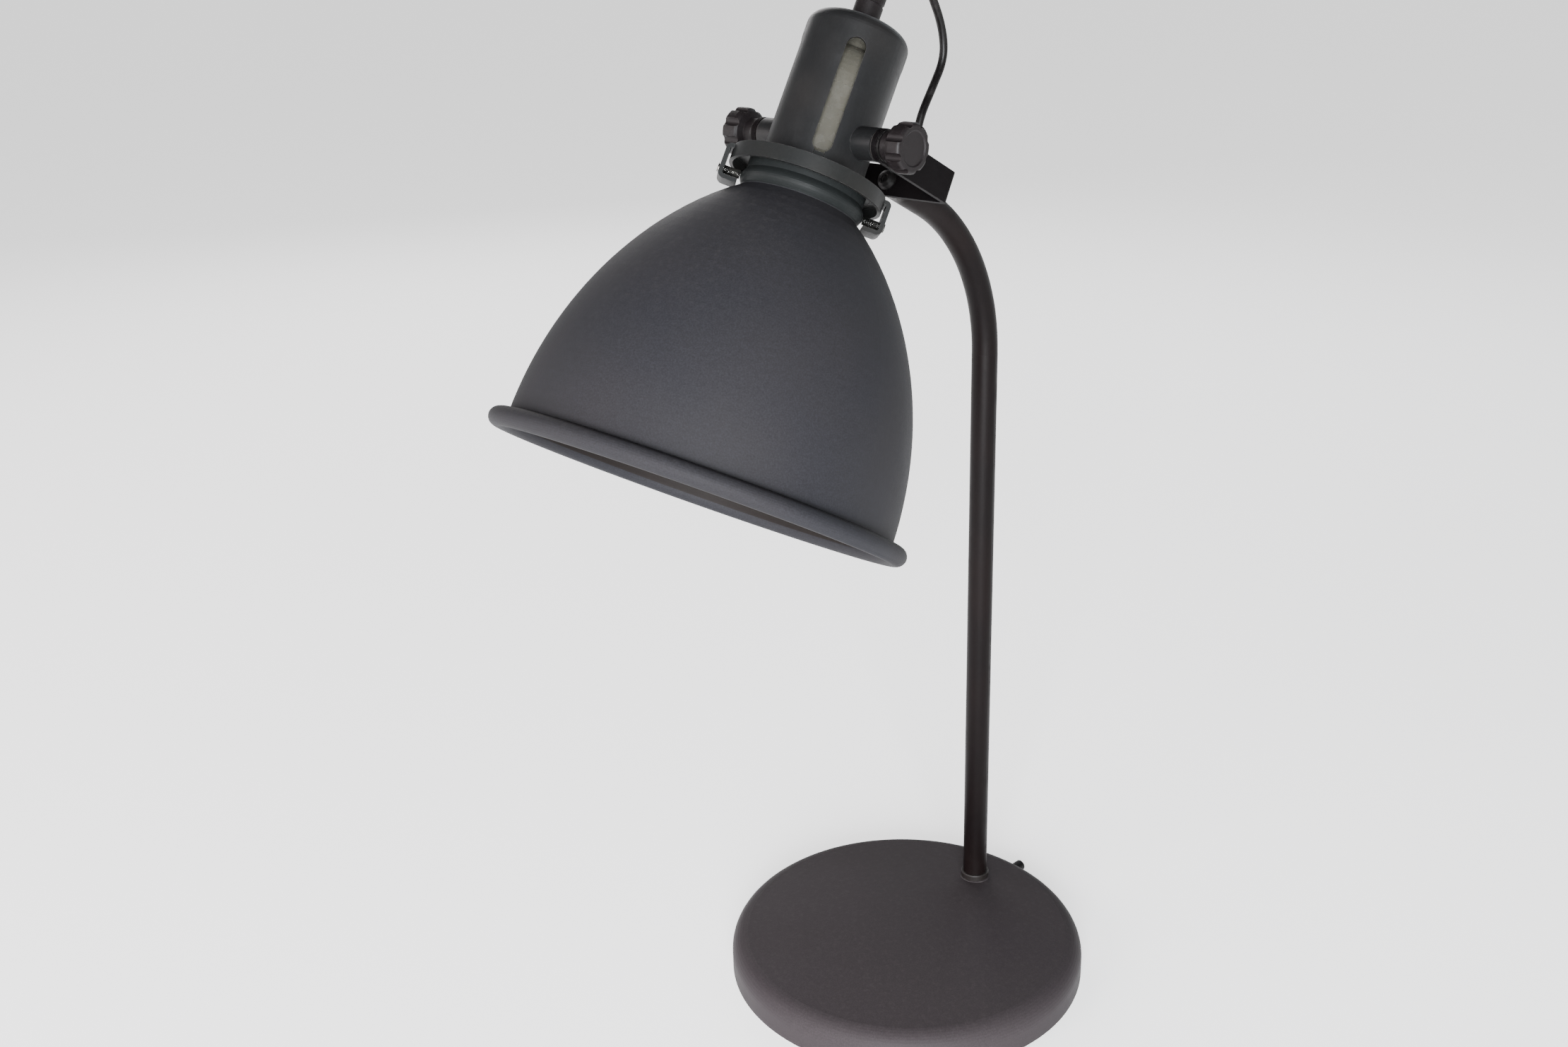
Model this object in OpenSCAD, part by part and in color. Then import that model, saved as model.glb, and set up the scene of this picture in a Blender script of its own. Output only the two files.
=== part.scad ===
// Dome shade desk lamp: a weighted round foot, a bent tube stem, a forked strap and a
// tilting head. Millimetres, +Z up, the head faces -Y, the origin is the middle of the
// foot's underside.

/* [Shade] */
// Diameter of the shade over its rolled rim
shade_d = 198; // [180:1:220]
// Thickness of the shade's sheet
shade_t = 1.0; // [0.8:0.1:1.3]
// Diameter of the rolled rim bead
rim_bead_d = 9; // [7:0.5:10]
// Height of the dome from the rim's lower edge to the neck
dome_h = 140; // [125:1:155]
// How full the dome's side is: the power on its height
dome_fullness = 2.05; // [1.8:0.05:2.3]
// How round the dome's shoulder is: the root on its radius
dome_shoulder = 1.5; // [1.2:0.05:1.7]
// Diameter of the shade's neck
neck_d = 56; // [52:1:58]
// Height of the rolled band round the neck
neck_band_h = 7; // [5:0.5:7.5]
// How far the neck band stands out
neck_band_out = 1.6; // [1:0.1:2]
// Plain neck between the dome and the band
neck_foot_h = 1; // [1:0.5:3]
// Dark gap between the neck band and the gallery ring
neck_groove_h = 1; // [1:0.5:3]

/* [Gallery ring] */
// Diameter of the gallery ring that carries the shade
ring_d = 73; // [70:1:75]
// Height of the gallery ring
ring_h = 7; // [6:0.5:9]
// Thickness of the ring's skirt
ring_t = 1.7; // [1.2:0.1:2]
// Thickness of the ring's top plate
ring_plate_t = 2; // [1.5:0.1:2.5]
// Diameter of the ring's bore, round the bulb's neck
ring_bore_d = 42; // [38:1:43]
// Width of a lug
lug_w = 12; // [9:0.5:14]
// Thickness of a lug
lug_t = 2; // [1.6:0.1:2.4]
// Reach of a lug's outer face past the ring
lug_reach = 3; // [2.5:0.5:4]
// Outer radius of a lug's lower bend
lug_bend_r = 3; // [2.6:0.1:3]
// Diameter of the screws in the lugs
lug_screw_d = 4; // [3:0.5:5]

/* [Holder cap] */
// Diameter of the holder cap
cap_d = 48.4; // [46:0.2:50]
// Height of the holder cap
cap_h = 71.5; // [70:0.5:80]
// Wall of the holder cap
cap_t = 1.5; // [1:0.1:1.8]
// Radius of the cap's top shoulder
cap_shoulder_r = 6; // [4:0.5:9]
// Width of a vent slot
slot_w = 9; // [6:0.5:10]
// Length of a vent slot
slot_len = 54; // [40:1:58]
// Height of the slots' lower ends above the ring
slot_base = 5; // [4:0.5:6]
// Width of the notch under each slot
notch_w = 5; // [4:0.5:5.5]

/* [Pivot and knobs] */
// Height of the pivot above the ring's top face
pivot_up = 17; // [14:0.5:20]
// Tilt of the head from upright
head_tilt = 31; // [20:1:45]
// Diameter of the pivot studs
stud_d = 5.9; // [4.9:0.1:6.4]
// Diameter of the pivot bosses on the cap
boss_d = 15; // [13:0.5:16]
// Diameter of the bosses' riveted tails
tail_d = 9; // [8:0.2:9.4]
// Thickness of the fibre washers inside the arms
fibre_t = 0.8; // [0.5:0.1:1.2]
// Thickness of the steel washers under the knobs
washer_t = 1.0; // [0.8:0.1:1.6]
// Diameter of the washers
washer_d = 14; // [12:0.5:16]
// Diameter of a hand knob over its lobes
knob_d = 22.4; // [20:0.2:24]
// Length of a knob's fluted head
knob_head_l = 9.5; // [8:0.5:12]
// Diameter of a knob's round boss
knob_boss_d = 13.4; // [11:0.2:14]
// Length of a knob's round boss
knob_boss_l = 5.4; // [5:0.2:9]
// Flutes round a knob
flutes = 8; // [6:1:10]
// Depth of the flutes
flute_depth = 1.7; // [1:0.1:2]

/* [Fork] */
// Clear width between the fork's arms
fork_gap = 71; // [70.4:0.2:78]
// Width of the fork's strap
strap_w = 15; // [15:0.5:20]
// Thickness of the fork's strap
strap_t = 2.5; // [2:0.1:3.5]
// Distance from the pivot to the back of the fork's web
arm_len = 55; // [53:1:62]
// Outer radius of the fork's bends
fork_bend_r = 4; // [3.6:0.1:6]
// Slope of the fork's arms below level
fork_pitch = 28; // [25:1:38]
// Diameter of the screw through the web
fork_screw_d = 6; // [5:0.5:6]

/* [Stem] */
// Diameter of the stem tube
stem_d = 14; // [13.4:0.2:15]
// Wall of the stem tube
stem_wall = 1.2; // [1:0.1:1.3]
// Distance of the stem behind the middle of the foot
stem_back = 66; // [60:1:70]
// Height of the pivot above the table
pivot_h = 479; // [440:1:520]
// Distance of the pivot in front of the stem
pivot_reach = 127; // [122:1:136]
// Radius of the stem's bend
bend_r = 100; // [90:1:120]
// Diameter of the collar round the stem's foot
collar_d = 16.6; // [16.4:0.2:20]
// Height of the collar
collar_h = 3.5; // [3:0.5:7]
// Length of the plug in the stem's top end
plug_len = 7; // [6:0.5:7.5]
// Distance of the cord grommet behind the fork's web
grommet_back = 11; // [11:0.5:13]

/* [Foot] */
// Diameter of the foot
base_d = 202; // [194:1:216]
// Height of the foot's straight side
base_side_h = 12; // [12:0.5:15]
// Radius of the foot's rounded edge
base_edge_r = 11; // [9:0.5:13]
// Rise of the foot's crowned top
base_crown = 4; // [3:0.5:6]
// Thickness of the foot's cover
cover_t = 1.5; // [1.2:0.1:1.8]
// Thickness of the bottom plate
plate_t = 1.5; // [1.2:0.1:2]
// Thickness of the soft pad under the plate
pad_t = 2; // [2:0.1:3]
// Gap from the pad's edge to the foot's edge
pad_inset = 5; // [3:0.5:9]
// Diameter of the cast weight
weight_d = 170; // [156:1:178]
// Thickness of the cast weight
weight_t = 12; // [11:0.5:13]
// Width of the weight's slot under the stem
weight_slot_w = 30; // [28:1:36]
// Diameter of the screws that hold the bottom plate
plate_screw_d = 4; // [3:0.5:5]
// Diameter of the cover's welded studs
weld_stud_d = 5; // [4:0.5:6]
// Diameter of the cord gland's body
gland_d = 7; // [6.4:0.2:8]
// Length of the gland outside the foot
gland_out = 13; // [8:0.5:16]

/* [Lampholder and bulb] */
// Diameter of the lampholder
holder_d = 39; // [37:0.5:40]
// Height of the lampholder's skirt
skirt_h = 32; // [31:0.5:34]
// Diameter of the bulb's screw cap
bulb_cap_d = 26.4; // [26:0.1:26.6]
// Diameter of the bulb's glass
bulb_d = 60; // [45:1:66]
// Length of the bulb from its contact to its tip
bulb_len = 108; // [95:1:116]
// Thickness of the bulb's glass
glass_t = 0.8; // [0.6:0.1:1.2]

/* [Cord] */
// Diameter of the cord
cord_d = 4; // [3.4:0.1:4.1]
// Diameter of the cord grip on the cap
grip_d = 13.2; // [12.4:0.2:16]
// Height of the cord grip above the cap
grip_h = 22; // [16:0.5:22]

/* [Hidden] */

$fn = 96;
// Clearances: still faces, threads, moving faces, loose holes
seat_gap = 0.05;
thread_gap = 0.05;
run_gap = 0.1;
hole_gap = 0.25;
cut = 1;
// Overlap of the straight and bent runs of the stem, and the bend's thinning of its wall
lap = 0.5;
bend_thin = 0.04;

// Colours
charcoal = [0.20, 0.20, 0.21];
cap_grey = [0.22, 0.23, 0.23];
foot_grey = [0.22, 0.21, 0.21];
stem_black = [0.14, 0.13, 0.13];
knob_black = [0.09, 0.09, 0.09];
zinc = [0.70, 0.70, 0.68];
blackened = [0.19, 0.19, 0.19];
fibre_black = [0.17, 0.16, 0.15];
iron = [0.35, 0.34, 0.33];
brass = [0.78, 0.62, 0.30];
cream = [0.86, 0.84, 0.76];
rubber = [0.08, 0.08, 0.08];
opal = [0.95, 0.95, 0.92];

// Heights in the head's own frame, whose origin is the pivot and whose +Z is the dome's axis
ring_top = -pivot_up;
ring_low = ring_top - ring_h;
neck_top = ring_top - ring_plate_t - seat_gap;
band_top = ring_low - neck_groove_h;
band_low = band_top - neck_band_h;
dome_top = band_low - neck_foot_h;
rim_low = dome_top - dome_h;
cap_top = ring_top + cap_h;
cap_r = cap_d / 2;
ring_r = ring_d / 2;
neck_r = neck_d / 2;
slot_low = ring_top + slot_base;
slot_count = 4;

// Places along the pivot's axis
arm_in = fork_gap / 2;
arm_out = arm_in + strap_t;
fibre_out = arm_in - run_gap;
boss_out = fibre_out - fibre_t;
washer_in = arm_out + run_gap;
knob_in = washer_in + washer_t;
knob_mid = knob_in + knob_boss_l;
knob_out = knob_mid + knob_head_l;
rivet_d = tail_d + 2;
rivet_t = 1.2;
rivet_out = sqrt(pow(cap_r - cap_t, 2) - pow(rivet_d / 2, 2)) - seat_gap;
rivet_in = rivet_out - rivet_t;
stud_in = rivet_in + 1;
stud_out = knob_mid + knob_head_l / 2;

// Places of the pivot, the fork's web and the stem
pivot_y = stem_back - pivot_reach;
web_y = pivot_y + arm_len * cos(fork_pitch);
web_z = pivot_h - arm_len * sin(fork_pitch);
bend_angle = 90 - fork_pitch;
stem_r = stem_d / 2;
bore_r = stem_r - stem_wall;
grommet_at = arm_len + grommet_back;
end_len = (stem_back - bend_r * (1 - cos(bend_angle)) - web_y) / cos(fork_pitch);
bend_z = web_z - end_len * sin(fork_pitch) - bend_r * sin(bend_angle);

// Heights in the foot
base_r = base_d / 2;
plate_top = pad_t + plate_t;
side_top = base_side_h;
fold_r = base_r - base_edge_r;
fold_z = side_top + base_edge_r;
crown_r = (fold_r * fold_r + base_crown * base_crown) / (2 * base_crown);
weight_top = plate_top + weight_t;
seat_r = 12;
foot_seat_r = collar_d / 2 + 0.6;
seat_top = crown_z(stem_back - foot_seat_r) + 0.3;
seat_low = crown_z(stem_back + seat_r) - cover_t - 1.5;
weld_r = 48;
weld_angles = [-90, 30, 150];
weld_low = weight_top + 4;
weld_pad_r = weld_stud_d / 2 + 3.5;
nut_t = 0.8 * weld_stud_d;
nut_top = plate_top + nut_t + 1;
plate_screw_r = 72;
plate_screw_angles = [45, 135, 225, 315];
plate_screw_head_h = pad_t - 0.4;
gland_z = 8.5;
gland_bore_r = cord_d / 2 + run_gap;
gland_low = 4.6;
stem_washer_t = 1.5;
stem_nut_t = 5;
stem_thread_r = 5;
stem_nut_low = seat_low - stem_washer_t - stem_nut_t;
stud_low = stem_nut_low - 1;
terminal_y = 22;
terminal_l = 14;
terminal_w = 20;
terminal_h = 11;

// Heights in the lampholder, in the head's frame
thread_r = 5;
grip_nut_t = 5;
dome_cap_top = cap_top - cap_t - grip_nut_t - 0.5;
skirt_low = ring_top + 6.5;
skirt_top = skirt_low + skirt_h;
holder_r = holder_d / 2;
holder_wall = 2.3;
core_low = skirt_top - 4;
core_h = 8;
contact_low = core_low - 1;
bulb_tip = contact_low - seat_gap;
bulb_low = bulb_tip - bulb_len;
bulb_cap_r = bulb_cap_d / 2;
glass_neck_z = bulb_tip - 29;
shell_r = bulb_cap_r + 0.3;
shell_t = 0.4;

// Cord: route of the free loop from the cord grip to the grommet, chosen by hand
head_cord_route = [[0, -21.5, 545], [0, -18.5, 550], [0, -12, 556], [0, -4, 558], [0, 5, 556],
    [0, 11, 549], [0, 15.5, 542], [0, 19.5, 535], [0, 24, 527], [0, 27, 519], [0, 28, 511],
    [0, 26, 504], [0, 22, 498], [0, 17, 491], [0, 12, 484], [0, 8.5, 476.5], [0, 7, 469.5],
    [0, 5, 462.5], [0, 1.5, 456]];
cord_sides = 8;
entry_r = 5.5;
exit_r = 8;
grommet_top = stem_r + 1.8;

// Height of the foot's crowned top at a distance from its middle
function crown_z(r) = fold_z + base_crown - crown_r + sqrt(crown_r * crown_r - r * r);

// Points on an arc from angle a0 to angle a1 in n steps
function arc(x, y, r, a0, a1, n) =
    [for (i = [0:n]) [x + r * cos(a0 + (a1 - a0) * i / n), y + r * sin(a0 + (a1 - a0) * i / n)]];

// Points on a cubic curve between two ends with two handles, in n steps
function cubic(p0, p1, p2, p3, n) =
    [for (i = [0:n]) let (t = i / n, s = 1 - t)
        s * s * s * p0 + 3 * s * s * t * p1 + 3 * s * t * t * p2 + t * t * t * p3];

// Radius of the dome's outer face at a height above the bead's middle, and its slope:
// wall * (1 - (height / span) ^ fullness) ^ (1 / shoulder)
bead_r = rim_bead_d / 2;
wall_r = shade_d / 2 - rim_bead_d + shade_t;
dome_rise = dome_h - bead_r;
dome_span = dome_rise / pow(1 - pow(neck_r / wall_r, dome_shoulder), 1 / dome_fullness);
function dome_r(h) = wall_r * pow(1 - pow(h / dome_span, dome_fullness), 1 / dome_shoulder);
function dome_slope(h) = (dome_r(h + 0.05) - dome_r(max(h - 0.05, 0))) / (h < 0.05 ? 0.05 + h : 0.1);

// A point of the dome's wall at a height, set in from the outer face by a depth
function dome_point(h, depth) = let (m = dome_slope(h), n = sqrt(1 + m * m))
    [dome_r(h) - depth / n, rim_low + bead_r + h + depth * m / n];

// A point of the YZ plane from its places along and above the fork's line
function fork_point(y, z) = [0, pivot_y + y * cos(fork_pitch) + z * sin(fork_pitch),
    pivot_h - y * sin(fork_pitch) + z * cos(fork_pitch)];

module in_head() {
    translate([0, pivot_y, pivot_h]) rotate([-head_tilt, 0, 0]) children();
}

module in_fork() {
    translate([0, pivot_y, pivot_h]) rotate([-fork_pitch, 0, 0]) children();
}

// Turns a shape that is drawn along +Z to run along +X
module along_x() {
    rotate([0, 90, 0]) children();
}

// Turns a shape that is drawn along +Z to run along +Y
module along_y() {
    rotate([-90, 0, 0]) children();
}

// A ring with a bore
module washer(r_out, r_in, h) {
    difference() {
        cylinder(r = r_out, h = h);
        translate([0, 0, -cut]) cylinder(r = r_in, h = h + 2 * cut);
    }
}

// A hexagon nut with a bore, by its width across flats
module hex_nut(flats, r_in, h) {
    difference() {
        cylinder(r = flats / 2 / cos(30), h = h, $fn = 6);
        translate([0, 0, -cut]) cylinder(r = r_in, h = h + 2 * cut);
    }
}

// A round bend in the YZ plane about a centre, from one angle over a sweep
module round_bend(y, z, bend, start, sweep, r) {
    translate([0, y, z]) rotate([90, 0, 90]) rotate([0, 0, start])
        rotate_extrude(angle = sweep) translate([bend, 0]) circle(r = r);
}

// ---- Foot ----

// Places of the weld studs round the weight
module at_welds() {
    for (a = weld_angles) rotate([0, 0, a]) translate([weld_r, 0, 0]) children();
}

// Places of the bottom plate's screws
module at_plate_screws() {
    for (a = plate_screw_angles) rotate([0, 0, a]) translate([plate_screw_r, 0, 0]) children();
}

module base_cover() {
    outer = concat([[base_r, pad_t]], arc(fold_r, side_top, base_edge_r, 0, 90, 10),
        [for (i = [1:12]) let (r = fold_r * (1 - i / 12)) [r, crown_z(r)]]);
    inner = concat([for (i = [0:12]) let (r = fold_r * i / 12) [r, crown_z(r) - cover_t]],
        arc(fold_r, side_top, base_edge_r - cover_t, 90, 0, 10), [[base_r - cover_t, pad_t]]);
    color(foot_grey) difference() {
        union() {
            rotate_extrude() polygon(concat(outer, inner));
            translate([0, stem_back, seat_low])
                cylinder(r = seat_r, h = crown_z(stem_back) - cover_t / 2 - seat_low);
            translate([0, stem_back, seat_low]) cylinder(r = foot_seat_r, h = seat_top - seat_low);
            at_welds() translate([0, 0, weld_low])
                cylinder(r = weld_pad_r, h = crown_z(weld_r) - cover_t / 2 - weld_low);
            at_welds() translate([0, 0, nut_top - nut_t - 0.3])
                cylinder(r = weld_stud_d / 2, h = weld_low - nut_top + nut_t + cut);
        }
        translate([0, stem_back, 0])
            cylinder(r = stem_thread_r + hole_gap, h = fold_z + 2 * base_crown);
        translate([0, base_r - 2 * cover_t - cut, gland_z])
            along_y() cylinder(r = gland_d / 2 + run_gap, h = 4 * cover_t);
    }
}

module base_weight() {
    color(iron) difference() {
        union() {
            translate([0, 0, plate_top]) cylinder(d = weight_d, h = weight_t);
            at_welds() translate([0, 0, plate_top])
                cylinder(r = weld_pad_r + 1, h = weld_low - plate_top - seat_gap);
        }
        translate([-weight_slot_w / 2, terminal_y - 8, -cut])
            cube([weight_slot_w, weight_d, weld_low + 2 * cut]);
        at_welds() {
            cylinder(r = weld_stud_d / 2 + hole_gap, h = weld_low + cut);
            cylinder(r = weld_stud_d + 1, h = nut_top);
        }
        at_plate_screws() cylinder(r = plate_screw_d / 2 + thread_gap, h = weight_top - 3);
    }
}

module weight_nuts() {
    color(zinc) at_welds() translate([0, 0, nut_top - nut_t - seat_gap])
        hex_nut(1.6 * weld_stud_d, weld_stud_d / 2 + thread_gap, nut_t);
}

module base_plate() {
    color(zinc) difference() {
        translate([0, 0, pad_t]) cylinder(r = base_r - cover_t - hole_gap, h = plate_t - seat_gap);
        at_plate_screws() cylinder(r = plate_screw_d / 2 + hole_gap, h = plate_top + cut);
    }
}

module base_pad() {
    color(rubber) difference() {
        cylinder(r = base_r - pad_inset, h = pad_t - seat_gap);
        at_plate_screws() translate([0, 0, -cut])
            cylinder(r = plate_screw_d + 1, h = pad_t + 2 * cut);
    }
}

module plate_screws() {
    color(zinc) at_plate_screws() difference() {
        union() {
            translate([0, 0, pad_t - plate_screw_head_h])
                cylinder(r = plate_screw_d * 0.95, h = plate_screw_head_h - seat_gap);
            translate([0, 0, pad_t - cut])
                cylinder(r = plate_screw_d / 2, h = weight_top - 4 - pad_t + cut);
        }
        translate([-plate_screw_d, -0.4, pad_t - plate_screw_head_h - cut])
            cube([2 * plate_screw_d, 0.8, 0.7 + cut]);
    }
}

module cord_gland() {
    color(rubber) translate([0, 0, gland_z]) along_y() rotate_extrude() polygon([
        [gland_bore_r, base_r - gland_low], [gland_d / 2 + 1, base_r - gland_low],
        [gland_d / 2 + 1, base_r - cover_t - 0.2], [gland_d / 2, base_r - cover_t - 0.2],
        [gland_d / 2, base_r + run_gap], [gland_d / 2 + 1.4, base_r + run_gap],
        [gland_d / 2 + 1.2, base_r + 2.2], [gland_d / 2 + 0.2, base_r + 3],
        [gland_bore_r + 1.2, base_r + gland_out], [gland_bore_r, base_r + gland_out]]);
}

module terminal_block() {
    color(cream) difference() {
        union() {
            for (s = [-1, 1]) translate([s * terminal_w / 4 - 4.5, terminal_y, plate_top])
                cube([9, terminal_l, terminal_h]);
            translate([-terminal_w / 4, terminal_y + 3, plate_top])
                cube([terminal_w / 2, terminal_l - 6, terminal_h - 4]);
        }
        for (s = [-1, 1]) {
            translate([s * terminal_w / 4, terminal_y - cut, plate_top + 4])
                along_y() cylinder(r = 1.6, h = terminal_l + 2 * cut);
            for (y = [3.5, terminal_l - 3.5])
                translate([s * terminal_w / 4, terminal_y + y, plate_top + 4])
                    cylinder(r = 1.8, h = terminal_h);
        }
    }
}

module terminal_screws() {
    color(brass) for (s = [-1, 1], y = [3.5, terminal_l - 3.5])
        translate([s * terminal_w / 4, terminal_y + y, plate_top + terminal_h - 3.5])
            cylinder(r = 1.8 - thread_gap, h = 3);
}

// ---- Stem ----

// The stem's line from the web to a height in the foot, as a round bar
module stem_bar(r, bend_bar_r, low, spare) {
    translate([0, stem_back, low]) cylinder(r = r, h = bend_z - low + lap);
    round_bend(stem_back - bend_r, bend_z, bend_r, 0, bend_angle, bend_bar_r);
    in_fork() translate([0, arm_len - spare, 0])
        along_y() cylinder(r = r, h = end_len + spare + lap);
}

module stem_tube() {
    color(stem_black) difference() {
        stem_bar(stem_r, stem_r - bend_thin, seat_top, 0);
        stem_bar(bore_r, bore_r + bend_thin, seat_top - cut, cut);
        in_fork() translate([0, grommet_at, 0])
            cylinder(r = cord_d / 2 + 1.6, h = stem_d);
    }
}

module stem_collar() {
    color(stem_black) translate([0, stem_back, seat_top]) rotate_extrude() polygon([
        [stem_r + seat_gap, seat_gap], [collar_d / 2, seat_gap], [collar_d / 2, collar_h - 0.6],
        [collar_d / 2 - 0.4, collar_h], [stem_r + seat_gap, collar_h]]);
}

module stem_stud() {
    color(zinc) translate([0, stem_back, 0]) difference() {
        union() {
            translate([0, 0, stud_low]) cylinder(r = stem_thread_r, h = seat_top - stud_low + cut);
            translate([0, 0, seat_top]) cylinder(r = bore_r - seat_gap, h = 15);
        }
        cylinder(r = cord_d / 2 + 1.4, h = seat_top + 15 + cut);
    }
}

module stem_washer() {
    color(zinc) translate([0, stem_back, seat_low - stem_washer_t])
        washer(seat_r - 1, stem_thread_r + hole_gap, stem_washer_t - seat_gap);
}

module stem_nut() {
    color(zinc) translate([0, stem_back, stem_nut_low])
        hex_nut(15, stem_thread_r + thread_gap, stem_nut_t - seat_gap);
}

module stem_plug() {
    color(zinc) in_fork() translate([0, arm_len, 0]) along_y()
        washer(bore_r - seat_gap, fork_screw_d / 2 + thread_gap, plug_len);
}

module stem_grommet() {
    color(rubber) in_fork() translate([0, grommet_at, 0]) difference() {
        union() {
            difference() {
                cylinder(r = cord_d / 2 + 3, h = grommet_top);
                translate([0, -stem_d, 0]) along_y()
                    cylinder(r = stem_r + seat_gap, h = 2 * stem_d);
            }
            translate([0, 0, bore_r - 0.6])
                cylinder(r = cord_d / 2 + 1.5, h = grommet_top - bore_r);
        }
        translate([0, 0, -cut]) cylinder(r = cord_d / 2 + run_gap, h = grommet_top + 2 * cut);
    }
}

// The cord held inside the lamp: in at the grommet, down the stem and on to the terminals
cord_z = plate_top + cord_d / 2 + seat_gap;
inner_cord_route = concat([fork_point(grommet_at, grommet_top)],
    [for (i = [0:6]) fork_point(grommet_at + entry_r * (1 - cos(15 * i)),
        entry_r * (1 - sin(15 * i)))],
    [for (i = [8:-1:0]) let (a = bend_angle * i / 8)
        [0, stem_back - bend_r * (1 - cos(a)), bend_z + bend_r * sin(a)]],
    [for (i = [1:5]) [0, stem_back, bend_z - (bend_z - cord_z - exit_r) * i / 6]],
    [for (i = [0:6]) [0, stem_back - exit_r * (1 - cos(15 * i)),
        cord_z + exit_r * (1 - sin(15 * i))]],
    [[0, terminal_y + terminal_l + seat_gap, cord_z]]);

module inner_cord() {
    color(rubber) swept_tube(inner_cord_route, cord_d / 2, cord_sides);
}

// ---- Fork ----

// A flat U with round corners, open towards -Y, by its half width, length and corner radius
module fork_outline(half, long, corner, start) {
    translate([-half, start]) square([2 * half, long - corner - start]);
    translate([corner - half, start]) square([2 * (half - corner), long - start]);
    for (s = [-1, 1]) translate([s * (half - corner), long - corner]) circle(r = corner);
}

module fork() {
    color(stem_black) in_fork() difference() {
        intersection() {
            translate([0, 0, -strap_w / 2]) linear_extrude(strap_w) difference() {
                fork_outline(arm_out, arm_len, fork_bend_r, -strap_w);
                fork_outline(arm_in, arm_len - strap_t, fork_bend_r - strap_t, -2 * strap_w);
            }
            union() {
                translate([-arm_out, 0, 0]) along_x() cylinder(d = strap_w, h = 2 * arm_out);
                translate([-arm_out, 0, -strap_w / 2]) cube([2 * arm_out, arm_len, strap_w]);
            }
        }
        translate([-2 * arm_out, 0, 0]) along_x()
            cylinder(r = stud_d / 2 + run_gap, h = 4 * arm_out);
        translate([0, arm_len - 2 * strap_t, 0]) along_y()
            cylinder(r = fork_screw_d / 2 + hole_gap, h = 3 * strap_t);
    }
}

module fork_screw() {
    head_y = arm_len - strap_t - seat_gap;
    color(blackened) in_fork() difference() {
        union() {
            along_y() rotate_extrude() polygon([[0, head_y - 3.2],
                [fork_screw_d * 0.45, head_y - 3.2], [fork_screw_d * 0.7, head_y - 2.4],
                [fork_screw_d * 0.83, head_y - 0.8], [fork_screw_d * 0.83, head_y], [0, head_y]]);
            translate([0, head_y - cut, 0]) along_y()
                cylinder(d = fork_screw_d, h = strap_t + plug_len - 1 + cut);
        }
        translate([0, head_y - 3.2 - cut, 0]) along_y()
            cylinder(r = fork_screw_d * 0.38, h = 1.8 + cut, $fn = 6);
    }
}

// ---- Head: gallery ring and shade ----

module shade() {
    steps = 28;
    curl_end = 485;
    band = [for (i = [0:8]) [neck_band_out * sin(180 * i / 8), band_top - neck_band_h * i / 8]];
    outer = concat([[neck_r, neck_top]], [for (p = band) [neck_r + p[0], p[1]]],
        [for (i = [steps:-1:1]) dome_point(dome_rise * i / steps, 0)]);
    inner = concat([for (i = [1:steps - 1]) dome_point(dome_rise * i / steps, shade_t)],
        [[neck_r - shade_t, dome_top]],
        [for (i = [8:-1:0]) [neck_r - shade_t + band[i][0], band[i][1]]],
        [[neck_r - shade_t, neck_top]]);
    curl_r = wall_r - shade_t + bead_r;
    color(charcoal) in_head() rotate_extrude($fn = 128) polygon(concat(outer,
        arc(curl_r, rim_low + bead_r, bead_r - shade_t, 180, curl_end, 24),
        arc(curl_r, rim_low + bead_r, bead_r, curl_end, 180, 24), inner));
}

// Places of the two lugs, looking out along +X
module at_lugs() {
    for (a = [-135, 45]) rotate([0, 0, a]) children();
}

lug_out = ring_r + lug_reach;
lug_drop = 0.3;
lug_low = dome_top - 0.8;
lug_foot = max(neck_r + neck_band_out, dome_r(dome_rise - 1.1)) + 0.6;
lug_screw_z = (band_top + band_low) / 2;

// A lug from the side, as a filled block open towards the neck, inset by the strap's thickness
module lug_outline(inset) {
    low = lug_low + inset;
    high = ring_top - lug_drop - inset;
    out = lug_out - inset;
    foot = inset > 0 ? lug_foot - cut : lug_foot;
    bend = lug_bend_r - inset;
    bend_top = lug_t + 0.4 - inset;
    translate([foot, low]) square([out - bend - foot, high - low]);
    translate([foot, low + bend]) square([out - foot, high - low - bend - bend_top]);
    translate([foot, high - bend_top]) square([out - bend_top - foot, bend_top]);
    translate([out - bend, low + bend]) circle(r = bend);
    translate([out - bend_top, high - bend_top]) circle(r = bend_top);
}

module gallery_ring() {
    tongue_t = cap_t - 2 * seat_gap;
    color(cap_grey) in_head() difference() {
        union() {
            translate([0, 0, ring_top - ring_plate_t])
                washer(ring_r, ring_bore_d / 2, ring_plate_t);
            translate([0, 0, ring_low]) washer(ring_r, ring_r - ring_t, ring_h);
            for (i = [0:slot_count - 1]) rotate([0, 0, 45 + i * 360 / slot_count])
                translate([cap_r - cap_t + seat_gap, -notch_w / 2 + hole_gap, ring_top - 0.5])
                    cube([tongue_t - 0.2, notch_w - 2 * hole_gap, slot_base + 0.5]);
            at_lugs() translate([0, lug_w / 2, 0]) rotate([90, 0, 0]) linear_extrude(lug_w)
                difference() {
                    lug_outline(0);
                    lug_outline(lug_t);
                }
        }
        at_lugs() translate([lug_out - 2 * lug_t, 0, lug_screw_z]) along_x()
            cylinder(r = lug_screw_d / 2 + thread_gap, h = 4 * lug_t);
    }
}

module gallery_screws() {
    tip = neck_r + neck_band_out + seat_gap;
    color(zinc) in_head() at_lugs() translate([0, 0, lug_screw_z]) difference() {
        translate([tip, 0, 0]) along_x() cylinder(d = lug_screw_d, h = lug_out + 0.8 - tip);
        translate([lug_out, -0.4, -lug_screw_d])
            cube([2, 0.8, 2 * lug_screw_d]);
    }
}

// ---- Head: holder cap and pivot ----

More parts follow.
